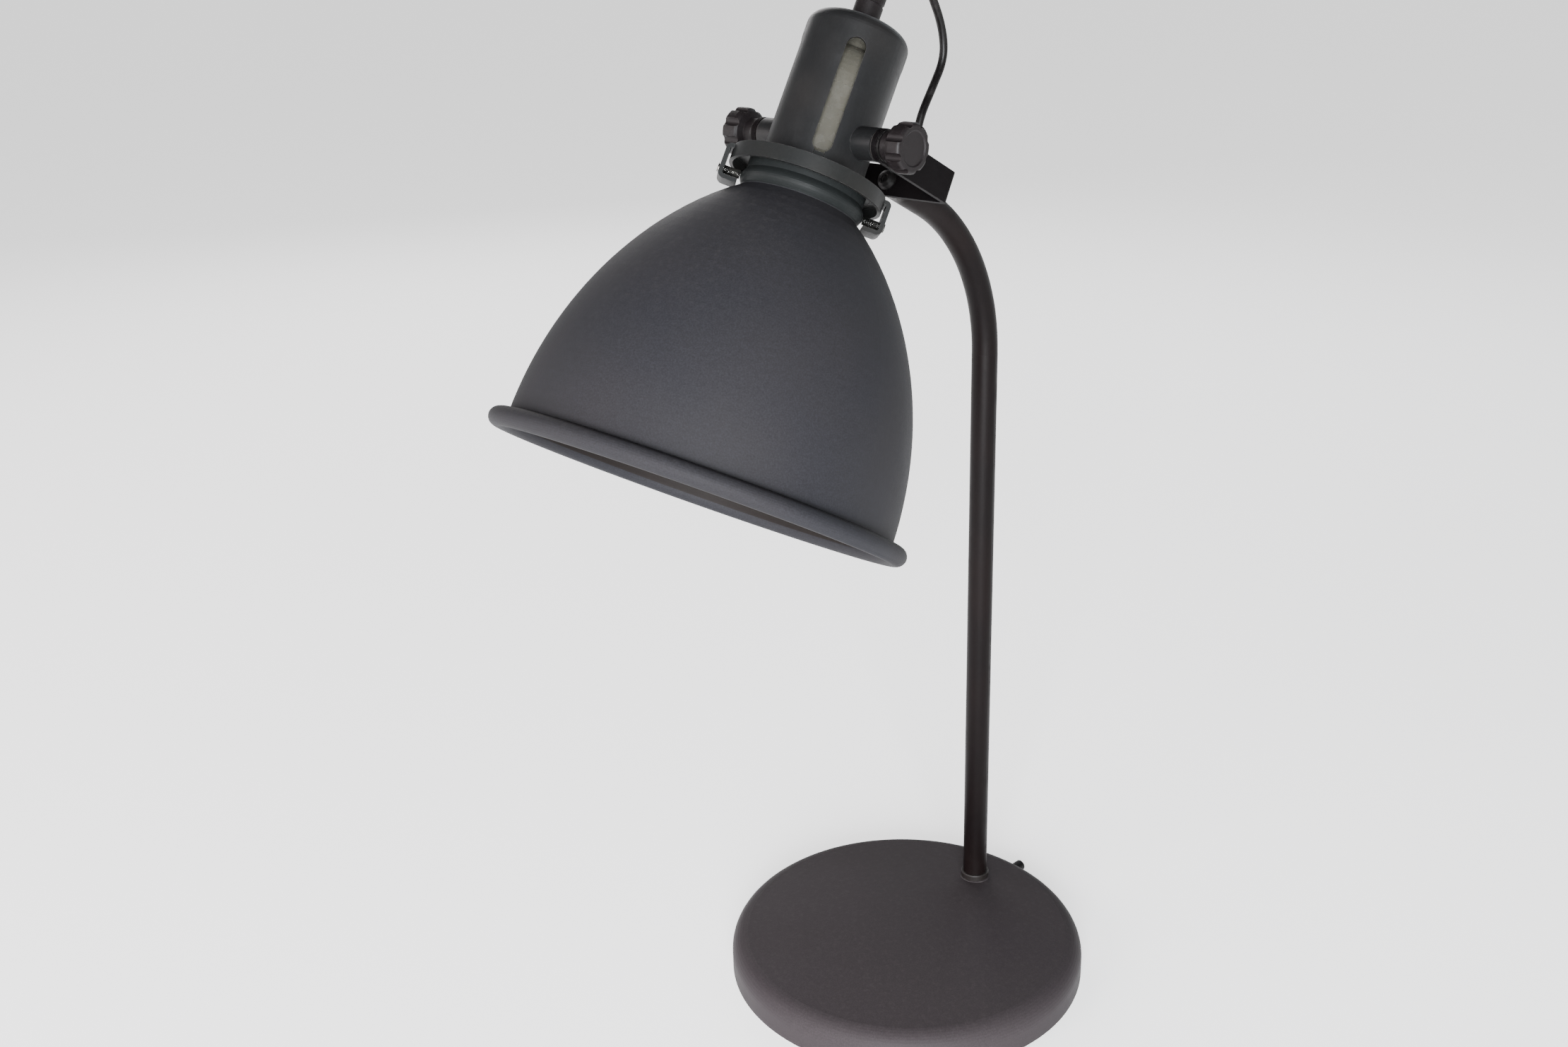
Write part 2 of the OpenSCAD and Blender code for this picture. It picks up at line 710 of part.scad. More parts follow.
module holder_cap() {
    in_r = cap_r - cap_t;
    corner = cap_r - cap_shoulder_r;
    half = slot_w / 2;
    color(cap_grey) in_head() difference() {
        rotate_extrude() polygon(concat([[in_r, ring_top + seat_gap], [cap_r, ring_top + seat_gap]],
            arc(corner, cap_top - cap_shoulder_r, cap_shoulder_r, 0, 90, 8),
            [[thread_r + hole_gap, cap_top], [thread_r + hole_gap, cap_top - cap_t]],
            arc(corner, cap_top - cap_shoulder_r, cap_shoulder_r - cap_t, 90, 0, 8)));
        for (i = [0:slot_count - 1]) rotate([0, 0, 45 + i * 360 / slot_count]) {
            translate([cap_r / 2, -half, slot_low + half]) cube([cap_r, slot_w, slot_len - slot_w]);
            for (z = [slot_low + half, slot_low + slot_len - half])
                translate([cap_r / 2, 0, z]) along_x() cylinder(r = half, h = cap_r);
            translate([cap_r / 2, -notch_w / 2, ring_top - cut])
                cube([cap_r, notch_w, slot_base + half + cut]);
        }
        translate([-cap_d, 0, 0]) along_x() cylinder(r = tail_d / 2 + seat_gap, h = 2 * cap_d);
    }
}

// The boss on the cap's +X side: a threaded sleeve whose tail is riveted inside the cap
module pivot_boss() {
    difference() {
        union() {
            difference() {
                translate([cap_r / 2, 0, 0]) along_x()
                    cylinder(d = boss_d, h = boss_out - cap_r / 2 - seat_gap);
                translate([0, 0, -boss_d]) cylinder(r = cap_r + seat_gap, h = 2 * boss_d);
            }
            translate([rivet_in, 0, 0]) along_x() cylinder(d = tail_d, h = boss_out - rivet_in - cut);
            translate([rivet_in, 0, 0]) along_x() cylinder(d = rivet_d, h = rivet_t);
        }
        along_x() cylinder(r = stud_d / 2 + thread_gap, h = 2 * cap_d);
    }
}

module pivot_boss_right() {
    color(cap_grey) in_head() pivot_boss();
}

module pivot_boss_left() {
    color(cap_grey) in_head() mirror([1, 0, 0]) pivot_boss();
}

module fibre_washers() {
    color(fibre_black) in_head() for (s = [0, 1]) mirror([s, 0, 0]) translate([boss_out, 0, 0])
        along_x() washer(washer_d / 2, stud_d / 2 + hole_gap, fibre_t);
}

module knob_washers() {
    color(blackened) in_head() for (s = [0, 1]) mirror([s, 0, 0]) translate([washer_in, 0, 0])
        along_x() washer(washer_d / 2, stud_d / 2 + hole_gap, washer_t);
}

// The knob on the +X side: a round boss and a fluted head
module knob() {
    r = knob_d / 2;
    groove = 1.25 * flute_depth;
    edge = 1.6;
    difference() {
        along_x() rotate_extrude() polygon(concat(
            [[0, knob_in + run_gap], [knob_boss_d / 2 - 0.5, knob_in + run_gap],
            [knob_boss_d / 2, knob_in + run_gap + 0.5], [knob_boss_d / 2, knob_mid - 0.5],
            [r - edge, knob_mid + 0.6], [r - 0.4, knob_mid + edge], [r, knob_mid + 2 * edge]],
            arc(r - edge, knob_out - edge, edge, 0, 90, 6),
            [[r - 2 * edge, knob_out], [r - 2.4 * edge, knob_out - 0.5], [0, knob_out - 0.5]]));
        for (i = [0:flutes - 1]) rotate([i * 360 / flutes, 0, 0])
            translate([knob_mid - 0.5, 0, r + groove - flute_depth]) along_x()
                cylinder(r = groove, h = knob_head_l + 2 * cut);
        translate([knob_in - cut, 0, 0]) along_x()
            cylinder(r = stud_d / 2 + seat_gap, h = stud_out - knob_in + 2 * seat_gap + cut);
    }
}

module knob_right() {
    color(knob_black) in_head() knob();
}

module knob_left() {
    color(knob_black) in_head() mirror([1, 0, 0]) knob();
}

module stud_right() {
    color(zinc) in_head() translate([stud_in, 0, 0]) along_x()
        cylinder(d = stud_d, h = stud_out - stud_in);
}

module stud_left() {
    color(zinc) in_head() mirror([1, 0, 0]) translate([stud_in, 0, 0]) along_x()
        cylinder(d = stud_d, h = stud_out - stud_in);
}

// ---- Head: cord grip, lampholder and bulb ----

module cord_grip() {
    r = grip_d / 2;
    top = cap_top + grip_h;
    bore = cord_d / 2 + run_gap;
    low = cap_top + seat_gap;
    color(knob_black) in_head() rotate_extrude() polygon([
        [bore, dome_cap_top - 5], [thread_r, dome_cap_top - 5], [thread_r, low], [r, low],
        [r, low + 11], [r - 0.5, low + 11.5], [r - 0.5, low + 12.5], [r, low + 13],
        [r, top - 4], [r - 2.2, top], [bore, top]]);
}

module grip_nut() {
    color(zinc) in_head() translate([0, 0, cap_top - cap_t - grip_nut_t])
        hex_nut(14, thread_r + thread_gap, grip_nut_t - seat_gap);
}

module holder_skirt() {
    in_r = holder_r - holder_wall;
    color(cream) in_head() rotate_extrude() polygon([
        [in_r, skirt_low], [holder_r - 1, skirt_low], [holder_r, skirt_low + 1],
        [holder_r, skirt_top], [in_r, skirt_top], [in_r, core_low - seat_gap],
        [in_r - 1.4, core_low - seat_gap], [in_r - 1.4, core_low - 2], [in_r, core_low - 3.4]]);
}

module holder_dome() {
    in_r = holder_r - holder_wall;
    low = skirt_top + seat_gap;
    collar = thread_r + 3.2;
    shoulder = dome_cap_top - 5 - low;
    color(cream) in_head() rotate_extrude() polygon(concat([[in_r, low], [holder_r, low]],
        cubic([holder_r, low + 2], [holder_r, low + shoulder * 0.7],
            [collar + 5, low + shoulder], [collar, low + shoulder], 10),
        [[collar, dome_cap_top - seat_gap], [thread_r + thread_gap, dome_cap_top - seat_gap],
        [thread_r + thread_gap, dome_cap_top - 7.5], [in_r - 4, low + core_h],
        [in_r, low + core_h - 2]]));
}

module holder_core() {
    out_r = holder_r - holder_wall - seat_gap;
    in_r = shell_r + shell_t + seat_gap;
    color(cream) in_head() difference() {
        union() {
            translate([0, 0, core_low]) cylinder(r = out_r, h = core_h - 3);
            translate([0, 0, skirt_low + 3]) washer(in_r + 1.3, in_r, core_low - skirt_low - 3 + cut);
        }
        for (s = [-1, 1]) translate([s * 9, 0, core_low + 1]) cylinder(r = 1.8, h = core_h);
    }
}

module thread_shell() {
    low = skirt_low + 3.5;
    high = core_low - seat_gap;
    turns = 6;
    pitch = (high - low - 2) / turns;
    wave = [for (i = [0:6 * turns]) [0.15 * cos(60 * i), low + 1 + pitch * i / 6]];
    r = shell_r + shell_t - 0.2;
    color(brass) in_head() rotate_extrude() polygon(concat([[r, low]],
        [for (p = wave) [r + p[0], p[1]]], [[r, high], [r - shell_t, high]],
        [for (i = [6 * turns:-1:0]) [r - shell_t + wave[i][0], wave[i][1]]], [[r - shell_t, low]]));
}

module centre_contact() {
    color(brass) in_head() translate([0, 0, contact_low]) cylinder(r = 4.5, h = 1 - seat_gap);
}

module holder_screws() {
    color(zinc) in_head() for (s = [-1, 1]) translate([s * 9, 0, core_low + 1.2]) {
        cylinder(r = 1.8 - thread_gap, h = core_h - 4.2 + seat_gap);
        translate([0, 0, core_h - 4.2 + seat_gap]) cylinder(r = 2.8, h = 1.6);
    }
}

module bulb_glass() {
    r = bulb_d / 2;
    mid = bulb_low + r;
    neck = bulb_cap_r - 0.9 - seat_gap;
    top = glass_neck_z + 6;
    outer = concat([[neck, top]], cubic([neck, glass_neck_z - 2], [neck, glass_neck_z - 16],
        [r, mid + 0.9 * r], [r, mid], 12), arc(0, mid, r, -9, -81, 8), [[0, bulb_low]]);
    inner = concat([[0, bulb_low + glass_t]], arc(0, mid, r - glass_t, -81, -9, 8),
        cubic([r - glass_t, mid], [r - glass_t, mid + 0.9 * r], [neck - glass_t, glass_neck_z - 16],
            [neck - glass_t, glass_neck_z - 2], 12), [[neck - glass_t, top]]);
    color(opal) in_head() rotate_extrude() polygon(concat(outer, inner));
}

module bulb_cap() {
    r = bulb_cap_r;
    low = glass_neck_z;
    turns = 5;
    wave = [for (i = [0:6 * turns]) [-0.2 + 0.2 * cos(60 * i), low + 4 + 3 * i / 6]];
    color(zinc) in_head() rotate_extrude() polygon(concat([[r - 0.85, low], [r - 0.1, low]],
        [for (p = wave) [r - 0.1 + p[0], p[1]]], [[r - 3, bulb_tip - 6], [5.2, bulb_tip - 1.2],
        [4.6, bulb_tip], [0, bulb_tip], [0, low + 7], [r - 0.85, low + 7]]));
}

// ---- Free cord ----

// Unit vector, and the direction of a route at one of its points
function unit(v) = v / norm(v);
function heading(route, i) =
    unit(route[min(i + 1, len(route) - 1)] - route[max(i - 1, 0)]);

// A round tube swept along a route that lies in the YZ plane
module swept_tube(route, r, sides) {
    last = len(route) - 1;
    rings = [for (i = [0:last]) let (d = heading(route, i), up = cross([1, 0, 0], d))
        for (k = [0:sides - 1]) route[i] + r * (cos(360 * k / sides) * [1, 0, 0]
            + sin(360 * k / sides) * up)];
    walls = [for (i = [0:last - 1], k = [0:sides - 1]) let (n = (k + 1) % sides)
        for (f = [[i * sides + k, i * sides + n, (i + 1) * sides + n],
            [i * sides + k, (i + 1) * sides + n, (i + 1) * sides + k]]) f];
    ends = concat([[for (k = [sides - 1:-1:0]) k]], [[for (k = [0:sides - 1]) last * sides + k]]);
    polyhedron(points = rings, faces = [for (f = concat(walls, ends)) [for (j = [len(f) - 1:-1:0]) f[j]]]);
}

module head_cord() {
    color(rubber) swept_tube(head_cord_route, cord_d / 2, cord_sides);
}

base_cover();
base_weight();
weight_nuts();
base_plate();
base_pad();
plate_screws();
cord_gland();
terminal_block();
terminal_screws();
stem_tube();
stem_collar();
stem_stud();
stem_washer();
stem_nut();
stem_plug();
stem_grommet();
inner_cord();
fork();
fork_screw();
shade();
gallery_ring();
gallery_screws();
holder_cap();
pivot_boss_left();
pivot_boss_right();
fibre_washers();
knob_washers();
knob_left();
stud_left();
knob_right();
stud_right();
cord_grip();
grip_nut();
holder_skirt();
holder_dome();
holder_core();
thread_shell();
centre_contact();
holder_screws();
bulb_glass();
bulb_cap();
head_cord();
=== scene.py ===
import bpy
import numpy as np
from mathutils import Euler, Matrix, Vector


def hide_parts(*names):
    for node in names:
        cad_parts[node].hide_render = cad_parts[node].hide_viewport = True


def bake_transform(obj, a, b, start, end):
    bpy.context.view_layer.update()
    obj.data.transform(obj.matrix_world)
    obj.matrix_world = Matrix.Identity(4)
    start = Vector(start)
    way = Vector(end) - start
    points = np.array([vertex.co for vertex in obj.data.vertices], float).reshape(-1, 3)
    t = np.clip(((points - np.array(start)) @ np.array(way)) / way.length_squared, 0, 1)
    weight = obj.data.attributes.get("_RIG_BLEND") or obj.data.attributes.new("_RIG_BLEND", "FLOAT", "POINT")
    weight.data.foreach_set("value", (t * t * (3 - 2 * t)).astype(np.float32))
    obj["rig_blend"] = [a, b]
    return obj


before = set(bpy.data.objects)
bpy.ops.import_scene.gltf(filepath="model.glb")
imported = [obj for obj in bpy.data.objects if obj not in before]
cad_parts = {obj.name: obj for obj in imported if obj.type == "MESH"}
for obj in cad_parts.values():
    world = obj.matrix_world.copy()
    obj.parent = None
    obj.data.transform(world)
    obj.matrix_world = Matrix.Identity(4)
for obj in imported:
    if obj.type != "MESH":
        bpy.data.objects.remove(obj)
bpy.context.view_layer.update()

# Places that the finishes are laid out from, in metres: the pivot of the head, the tilt of the
# dome's axis from upright, the slope of the fork and its web's distance from the pivot. Heights
# in the head are along the dome's axis from the pivot: the foot of the neck, and the height in
# the rolled rim below which its inner half takes the outer coat.
PIVOT = np.array([0.0, -0.061, 0.479])
HEAD_TILT = np.radians(31.0)
FORK_SLOPE = np.radians(28.0)
WEB_FROM_PIVOT = 0.055
NECK_LOW = -0.0328
INSIDE_LOW = -0.169
SIDE = np.array([1.0, 0.0, 0.0])

# ---------------------------------------------------------------- camera

PHOTO_WIDTH, FOCAL_PIXELS = 2220, 2300.0
CAMERA_PLACE = (0.5056, -0.6194, 0.5816)
CAMERA_AZIMUTH, CAMERA_DIP, CAMERA_ROLL = np.radians([43.84, 21.02, -1.57])


def photo_camera():
    """Camera at the photograph's place. Its view direction is v = (-sin a cos d, cos a cos d,
    -sin d) for azimuth a and dip d; right and up are turned about v by the roll."""
    a, d, roll = CAMERA_AZIMUTH, CAMERA_DIP, CAMERA_ROLL
    ahead = Vector((-np.sin(a) * np.cos(d), np.cos(a) * np.cos(d), -np.sin(d)))
    level = Vector((np.cos(a), np.sin(a), 0.0))
    steep = Vector((-np.sin(a) * np.sin(d), np.cos(a) * np.sin(d), np.cos(d)))
    right = level * np.cos(roll) + steep * np.sin(roll)
    up = steep * np.cos(roll) - level * np.sin(roll)
    lens = bpy.data.cameras.new("photo_camera")
    lens.sensor_fit = "HORIZONTAL"
    lens.sensor_width = 36.0
    lens.lens = FOCAL_PIXELS / PHOTO_WIDTH * 36.0
    lens.clip_start, lens.clip_end = 0.01, 100.0
    camera = bpy.data.objects.new("photo_camera", lens)
    turn = Matrix((right, up, -ahead)).transposed().to_4x4()
    camera.matrix_world = Matrix.Translation(CAMERA_PLACE) @ turn
    bpy.context.scene.collection.objects.link(camera)
    bpy.context.scene.camera = camera


photo_camera()

# ---------------------------------------------------------------- shapes


def grid_mesh(name, points, wrap_columns=False, caps=False, length=1.0):
    """Mesh over a grid of points (rows, columns, 3): each cell is one quad, wrapped columns join
    the last to the first, and caps close the first and the last row. Its UV map runs from 0 to 1
    round the columns, and along the rows from 0 to the given length."""
    rows, columns = points.shape[:2]
    index = np.arange(rows * columns).reshape(rows, columns)
    r = np.arange(rows - 1)[:, None]
    c = np.arange(columns if wrap_columns else columns - 1)[None, :]
    corner_r = np.stack([r + 0 * c, r + 0 * c, r + 1 + 0 * c, r + 1 + 0 * c], -1).reshape(-1, 4)
    corner_c = np.stack([c + 0 * r, c + 1 + 0 * r, c + 1 + 0 * r, c + 0 * r], -1).reshape(-1, 4)
    quads = index[corner_r, corner_c % columns]
    faces = quads.tolist()
    uv = np.stack([corner_c / columns, corner_r / rows * length], -1).reshape(-1, 2)
    if caps:
        faces += [index[0][::-1].tolist(), index[-1].tolist()]
        uv = np.concatenate([uv, np.zeros((2 * columns, 2))])
    mesh = bpy.data.meshes.new(name)
    mesh.from_pydata(points.reshape(-1, 3).tolist(), [], faces)
    mesh.uv_layers.new(name="UVMap").data.foreach_set("uv", uv.astype(np.float32).ravel())
    mesh.polygons.foreach_set("use_smooth", np.ones(len(faces), bool))
    mesh.update()
    piece = bpy.data.objects.new(name, mesh)
    bpy.context.scene.collection.objects.link(piece)
    return piece


def smooth_route(points, steps):
    """Curve through given points: between each two, the cubic whose slopes at its ends are half the chord
    over both neighbours, sampled in the given number of steps."""
    p = np.asarray(points, float)
    p = np.concatenate([[2 * p[0] - p[1]], p, [2 * p[-1] - p[-2]]])
    t = (np.arange(steps) / steps)[None, :, None]
    a, b, c, d = (p[i : len(p) - 3 + i, None, :] for i in range(4))
    curve = b + 0.5 * t * (c - a + t * (2 * a - 5 * b + 4 * c - d + t * (3 * (b - c) + d - a)))
    return np.concatenate([curve.reshape(-1, 3), p[-2:-1]])


def unit(v):
    """Vectors made one long."""
    return v / np.linalg.norm(v, axis=-1, keepdims=True)


def tube_points(route, radius, sides, across=SIDE):
    """Round tube along a route in a plane: at each point of the route a circle of the given
    radius, spanned by the direction across the plane and by its cross product with the route."""
    ahead = unit(np.gradient(route, axis=0))
    inward = unit(np.cross(ahead, across))
    turn = np.linspace(0, 2 * np.pi, sides, endpoint=False)
    ring = np.cos(turn)[None, :, None] * across + np.sin(turn)[None, :, None] * inward[:, None, :]
    return route[:, None, :] + radius * ring


# ---------------------------------------------------------------- cord

# Route of the free loop of cord from the grip on the cap to the grommet in the stem, in metres
CORD_ROUTE = [
    (0, -0.0215, 0.545), (0, -0.0185, 0.550), (0, -0.012, 0.556), (0, -0.004, 0.558),
    (0, 0.005, 0.556), (0, 0.011, 0.549), (0, 0.0155, 0.542), (0, 0.0195, 0.535),
    (0, 0.024, 0.527), (0, 0.027, 0.519), (0, 0.028, 0.511), (0, 0.026, 0.504),
    (0, 0.022, 0.498), (0, 0.017, 0.491), (0, 0.012, 0.484), (0, 0.0085, 0.4765),
    (0, 0.007, 0.4695), (0, 0.005, 0.4625), (0, 0.0015, 0.456)]
CORD_RADIUS = 0.002
CORD_RINGS, CORD_SIDES = 150, 24
ROUTE_STEPS = 16    # steps of the smooth route between two chosen points
SOFT_WINDOW, SOFT_PASSES = 9, 3    # near neighbours that each average takes, and how many averages


def even_route(points, count):
    """The smooth route, rounded off by a few averages over near neighbours with its ends kept,
    and sampled at even distances along itself; and its length."""
    curve = smooth_route(points, ROUTE_STEPS)
    window = np.ones(SOFT_WINDOW) / SOFT_WINDOW
    kept = slice(SOFT_WINDOW - 1, 1 - SOFT_WINDOW)
    for _ in range(SOFT_PASSES):
        soft = np.stack([np.convolve(curve[:, k], window, "same") for k in range(3)], 1)
        curve[kept] = soft[kept]
    along = np.concatenate([[0], np.cumsum(np.linalg.norm(np.diff(curve, axis=0), axis=1))])
    even = np.linspace(0, along[-1], count)
    return np.stack([np.interp(even, along, curve[:, k]) for k in range(3)], 1), along[-1]


def blend_along(piece, rings):
    """Share in which each ring of a tube follows the second body of its blend, smoothly from 0 at
    the tube's first ring to 1 at its last, so that each ring turns as one and stays round."""
    shares = piece.data.attributes["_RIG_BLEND"]
    t = np.repeat(np.linspace(0.0, 1.0, rings), len(shares.data) // rings)
    shares.data.foreach_set("value", (t * t * (3 - 2 * t)).astype(np.float32))


cord_line, cord_length = even_route(CORD_ROUTE, CORD_RINGS)
head_loop = grid_mesh("head_cord_sheath", tube_points(cord_line, CORD_RADIUS, CORD_SIDES),
                      wrap_columns=True, caps=True, length=cord_length)
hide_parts("head_cord")
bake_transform(head_loop, "head", "stand", start=(0, -0.0215, 0.545), end=(0, 0.0015, 0.456))
blend_along(head_loop, len(cord_line))

# ---------------------------------------------------------------- finishes


class Finish:
    """One finish: a Principled surface, with short calls that add nodes and join them."""

    def __init__(self, name, **constants):
        self.material = bpy.data.materials.new(name)
        self.material.use_nodes = True
        self.tree = self.material.node_tree
        self.tree.nodes.clear()
        self.skin = self.add("ShaderNodeBsdfPrincipled", **constants)
        out = self.add("ShaderNodeOutputMaterial")
        self.tree.links.new(self.skin.outputs[0], out.inputs["Surface"])
        self.place = self.add("ShaderNodeTexCoord").outputs["Object"]

    def add(self, kind, settings=(), **inputs):
        made = self.tree.nodes.new(kind)
        for name, value in dict(settings).items():
            setattr(made, name, value)
        for name, value in inputs.items():
            self.feed(made, name.replace("_", " "), value)
        return made

    def feed(self, made, name, value):
        socket = made.inputs[name]
        if isinstance(value, bpy.types.NodeSocket):
            self.tree.links.new(value, socket)
        elif isinstance(value, (tuple, list)) and socket.type == "RGBA":
            socket.default_value = tuple(value) + (1.0,) * (4 - len(value))
        else:
            socket.default_value = value

    def set(self, **inputs):
        for name, value in inputs.items():
            self.feed(self.skin, name.replace("_", " "), value)
        return self

    def sum(self, operation, a, b=0.0, c=None):
        made = self.add("ShaderNodeMath", {"operation": operation})
        for i, value in enumerate([a, b] + ([] if c is None else [c])):
            if isinstance(value, bpy.types.NodeSocket):
                self.tree.links.new(value, made.inputs[i])
            else:
                made.inputs[i].default_value = value
        return made.outputs[0]

    def vector(self, operation, a, b=(0, 0, 0)):
        made = self.add("ShaderNodeVectorMath", {"operation": operation})
        for i, value in enumerate([a, b]):
            if isinstance(value, bpy.types.NodeSocket):
                self.tree.links.new(value, made.inputs[i])
            else:
                made.inputs[i].default_value = value
        return made.outputs["Value" if operation in ("DOT_PRODUCT", "LENGTH") else 0]

    def split(self, vector):
        return self.add("ShaderNodeSeparateXYZ", Vector=vector).outputs

    def noise(self, size, detail=2.0, roughness=0.5, where=None):
        """Noise whose features are about the given size, in metres."""
        made = self.add("ShaderNodeTexNoise", Scale=1.0 / size, Detail=detail,
                        Roughness=roughness, Vector=where or self.place)
        return made.outputs[0]

    def cells(self, size):
        """Distance to the nearest of points that lie about the given size apart, in metres."""
        made = self.add("ShaderNodeTexVoronoi", {"feature": "F1"}, Scale=1.0 / size,
                        Vector=self.place)
        return made.outputs[0]

    def span(self, value, low, high, to_low=0.0, to_high=1.0):
        """The value taken smoothly from the range low to high to the range to_low to to_high."""
        made = self.add("ShaderNodeMapRange", {"interpolation_type": "SMOOTHSTEP"})
        for name, x in zip(("Value", "From Min", "From Max", "To Min", "To Max"),
                           (value, low, high, to_low, to_high)):
            self.feed(made, name, x)
        return made.outputs[0]

    def mix(self, share, a, b, blend="MIX"):
        made = self.add("ShaderNodeMix", {"data_type": "RGBA", "blend_type": blend})
        for i, value in ((0, share), (6, a), (7, b)):
            if isinstance(value, bpy.types.NodeSocket):
                self.tree.links.new(value, made.inputs[i])
            elif i:
                made.inputs[i].default_value = tuple(value) + (1.0,)
            else:
                made.inputs[i].default_value = value
        return made.outputs[2]

    def bump(self, height, depth, below=None):
        made = self.add("ShaderNodeBump", Height=height, Distance=depth, Strength=1.0)
        if below:
            self.feed(made, "Normal", below)
        return made.outputs[0]

    def edge(self, radius, low=0.03, high=0.25):
        """How near a point is to a sharp edge: one minus the cosine between the face's normal
        and the normal of the same place with its edges rounded off."""
        rounded = self.add("ShaderNodeBevel", {"samples": 6}, Radius=radius).outputs[0]
        normal = self.add("ShaderNodeNewGeometry").outputs["Normal"]
        cosine = self.vector("DOT_PRODUCT", rounded, normal)
        return self.span(self.sum("SUBTRACT", 1.0, cosine), low, high)

    def in_head(self):
        """Coordinates with the dome's axis as Z and the pivot as origin."""
        turn = Euler((HEAD_TILT, 0, 0))
        at = -(turn.to_matrix() @ Vector(PIVOT))
        return self.add("ShaderNodeMapping", Vector=self.place, Location=tuple(at),
                        Rotation=tuple(turn)).outputs[0]


def powder_coat(name, colour, warm, wear, roughness, level=0.1):
    """Matt powder coat: fine grain in colour, gloss and height, slow drifts of tone, paler and
    smoother where hands and edges have rubbed it, and a little dust on what faces up."""
    f = Finish(name, Specular_IOR_Level=level)
    drift = f.noise(0.09, 3.0)
    fine = f.noise(0.0007, 2.0, 0.6)
    speck = f.span(f.cells(0.0035), 0.0, 0.09, 1.0, 0.0)
    coat = f.mix(f.span(drift, 0.2, 0.8), colour, warm)
    pale = tuple(min(1.0, c * 1.9 + 0.002) for c in colour)
    dark = tuple(c * 0.6 for c in colour)
    coat = f.mix(f.span(fine, 0.38, 0.72, 0.0, 0.32), coat, pale)
    coat = f.mix(f.span(fine, 0.40, 0.22, 0.0, 0.4), coat, dark)
    coat = f.mix(f.sum("MULTIPLY", speck, f.span(f.noise(0.02), 0.55, 0.7, 0.0, 0.5)), coat, pale)
    up = f.split(f.add("ShaderNodeNewGeometry").outputs["Normal"])[2]
    dust = f.sum("MULTIPLY", f.span(up, 0.6, 1.0), f.span(f.noise(0.003, 5.0, 0.75), 0.45, 0.8))
    coat = f.mix(f.sum("MULTIPLY", dust, 0.07), coat, (0.12, 0.11, 0.105))
    rubbed = f.sum("MULTIPLY", f.edge(0.0006), f.span(f.noise(0.004, 3.0, 0.7), 0.42, 0.62))
    coat = f.mix(f.sum("MULTIPLY", rubbed, wear), coat, (0.10, 0.095, 0.09))
    gloss = f.span(drift, 0.3, 0.7, roughness - 0.04, roughness + 0.05)
    gloss = f.sum("ADD", gloss, f.span(fine, 0.3, 0.7, -0.03, 0.05))
    gloss = f.sum("SUBTRACT", gloss, f.sum("MULTIPLY", rubbed, 0.14))
    relief = f.bump(f.noise(0.0026, 2.0), 0.000044)
    relief = f.bump(fine, 0.00002, relief)
    return f, coat, gloss, relief


def foot_coat():
    """The foot's warm dark coat, with faint rings left by spinning under it."""
    f, coat, gloss, relief = powder_coat("foot_coat", (0.0225, 0.0185, 0.0205),
                                         (0.0255, 0.0215, 0.0228), 0.3, 0.58)
    rings = f.add("ShaderNodeTexWave", {"wave_type": "RINGS", "rings_direction": "Z"},
                  Vector=f.place, Scale=60.0, Distortion=1.5, Detail=2.0).outputs[1]
    return f.set(Base_Color=coat, Roughness=gloss, Normal=f.bump(rings, 0.00001, relief)).material


def shade_coat():
    """The dome's charcoal coat outside, and inside a browner, plainer coat that is also darker than the
    outside as painted shade of the dome's interior. A place is inside where its normal points towards the
    dome's axis; the rolled rim's underside counts as outside. The neck is greener and glossier."""
    f, coat, gloss, relief = powder_coat("shade_coat", (0.0118, 0.0120, 0.0142),
                                         (0.0146, 0.0138, 0.0150), 0.35, 0.60, level=0.075)
    head = f.in_head()
    flat = f.vector("MULTIPLY", head, (1.0, 1.0, 0.0))
    turn = f.add("ShaderNodeMapping", Vector=f.add("ShaderNodeNewGeometry").outputs["Normal"],
                 Rotation=(HEAD_TILT, 0, 0)).outputs[0]
    outward = f.vector("DOT_PRODUCT", flat, turn)
    low = f.split(head)[2]
    inside = f.sum("MULTIPLY", f.sum("LESS_THAN", outward, 0.0),
                   f.sum("GREATER_THAN", low, INSIDE_LOW))
    # Inner coat: browner, and darker than the outside as painted shade inside the dome.
    shaded_inner = f.mix(f.noise(0.03, 4.0), (0.0082, 0.0069, 0.0063), (0.0108, 0.0091, 0.0084))
    neck = f.sum("GREATER_THAN", low, NECK_LOW)
    coat = f.mix(neck, f.mix(inside, coat, shaded_inner), (0.0070, 0.0080, 0.0080))
    gloss = f.sum("SUBTRACT", gloss, f.sum("MULTIPLY", neck, 0.14))
    lines = f.add("ShaderNodeTexWave", {"wave_type": "BANDS", "bands_direction": "Z"},
                  Vector=head, Scale=95.0, Distortion=0.6, Detail=2.0).outputs[1]
    relief = f.bump(lines, 0.000006, relief)
    return f.set(Base_Color=coat, Roughness=gloss, Normal=relief).material


